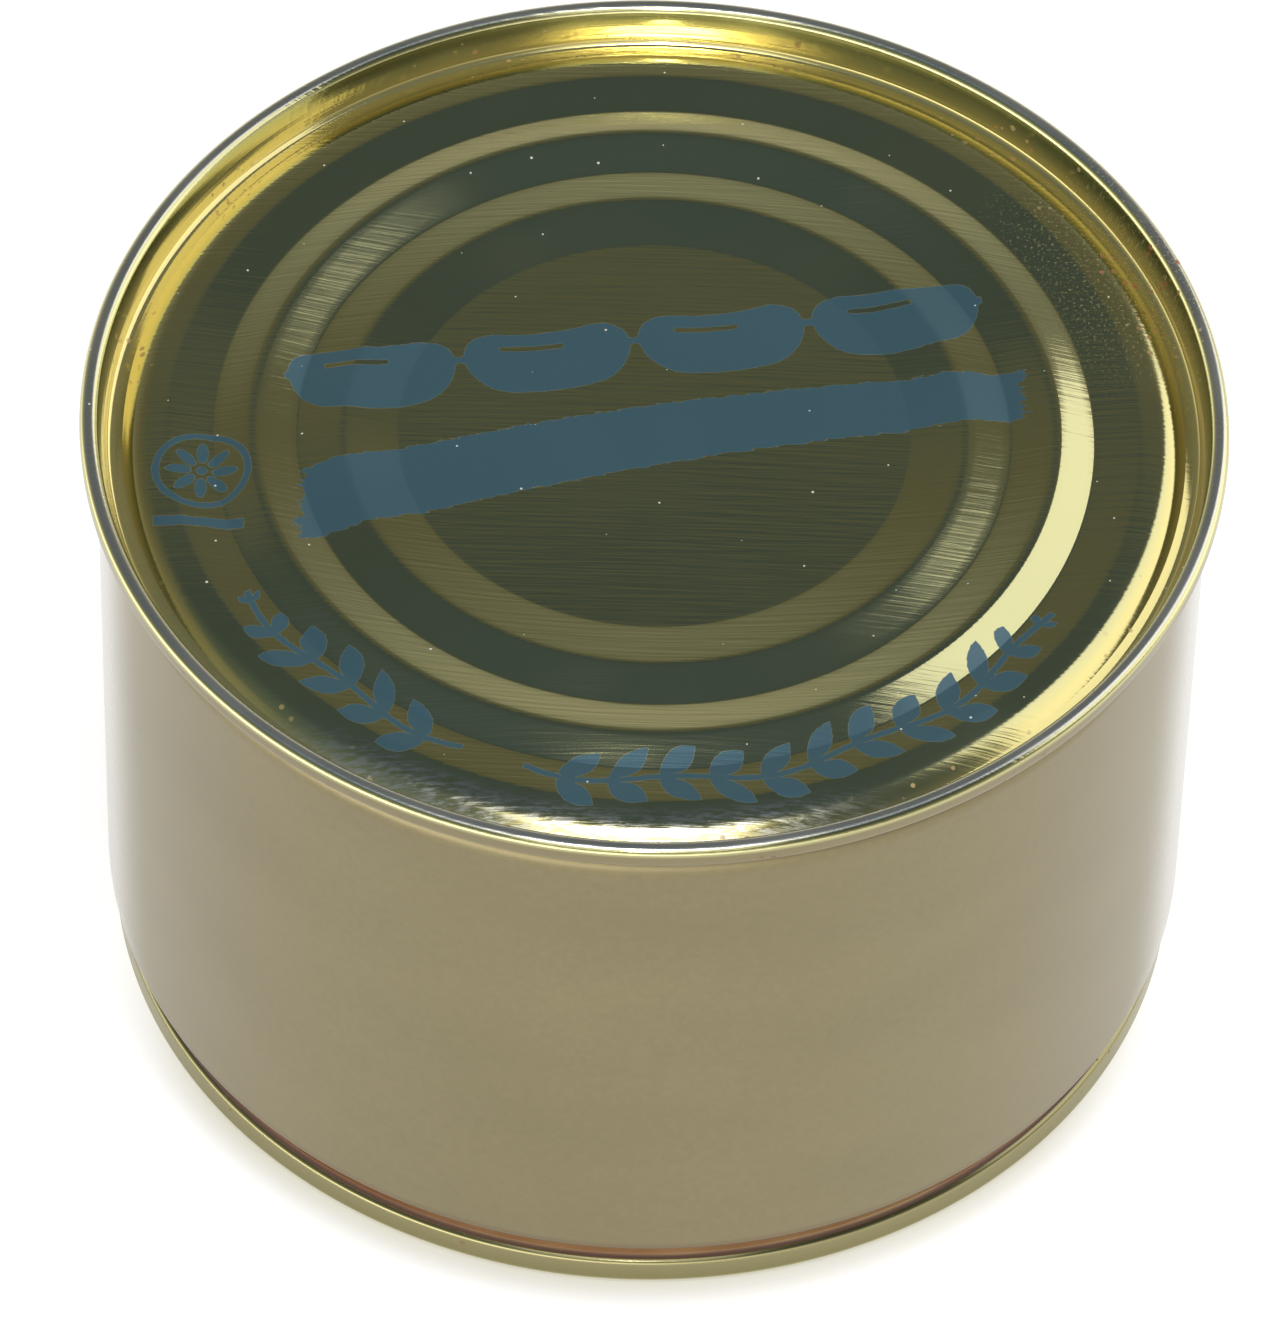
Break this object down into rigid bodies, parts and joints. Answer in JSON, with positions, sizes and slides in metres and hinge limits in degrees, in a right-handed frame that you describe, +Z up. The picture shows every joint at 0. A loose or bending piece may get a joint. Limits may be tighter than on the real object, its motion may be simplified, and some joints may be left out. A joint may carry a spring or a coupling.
{
  "type": "can of sausages",
  "caption": "Low round sealed tin of sausages in gold lacquer, with ringed pressed ends, double seams, a necked-in foot and a plain printed top.",
  "frame": {"origin": "centre of the circle that the bottom seam rests on", "axes": "+Z up along the can's axis, +X to the right of the print as it is read, +Y to its far side"},
  "size_m": [0.102, 0.102, 0.0632],
  "materials": {
    "body_lacquer": "satin gold lacquer on tinplate",
    "top_end_lacquer": "glossy gold lacquer on tinplate, with a blue print",
    "bottom_end_lacquer": "glossy gold lacquer on tinplate"
  },
  "bodies": {
    "root": {"can_body": "body_lacquer", "top_end": "top_end_lacquer", "bottom_end": "bottom_end_lacquer"}
  },
  "joints": []
}
